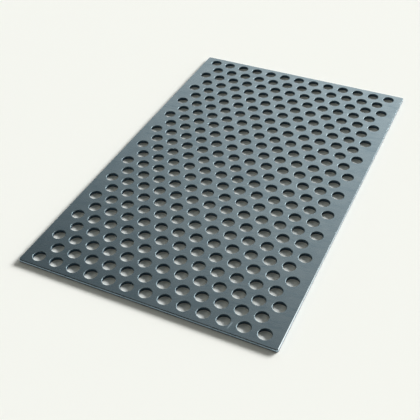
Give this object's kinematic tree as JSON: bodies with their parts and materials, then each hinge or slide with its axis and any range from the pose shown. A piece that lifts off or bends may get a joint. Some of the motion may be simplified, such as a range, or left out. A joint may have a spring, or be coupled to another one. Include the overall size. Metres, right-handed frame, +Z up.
{
  "type": "perforated metal sheet",
  "caption": "Flat rectangular steel sheet with round punched holes in staggered rows inside a plain border, used as a screen, guard, grille, shelf or infill panel.",
  "frame": {"origin": "centre of the underside, on the surface that the sheet lies on", "axes": "+Z up through the thickness, +Y along the length, +X across the width"},
  "size_m": [0.205, 0.33, 0.003],
  "materials": {
    "sheet_steel": "mill-finish steel with a fine rolled grain, blue-grey, satin"
  },
  "bodies": {
    "root": {"perforated_sheet": "sheet_steel"}
  },
  "joints": []
}
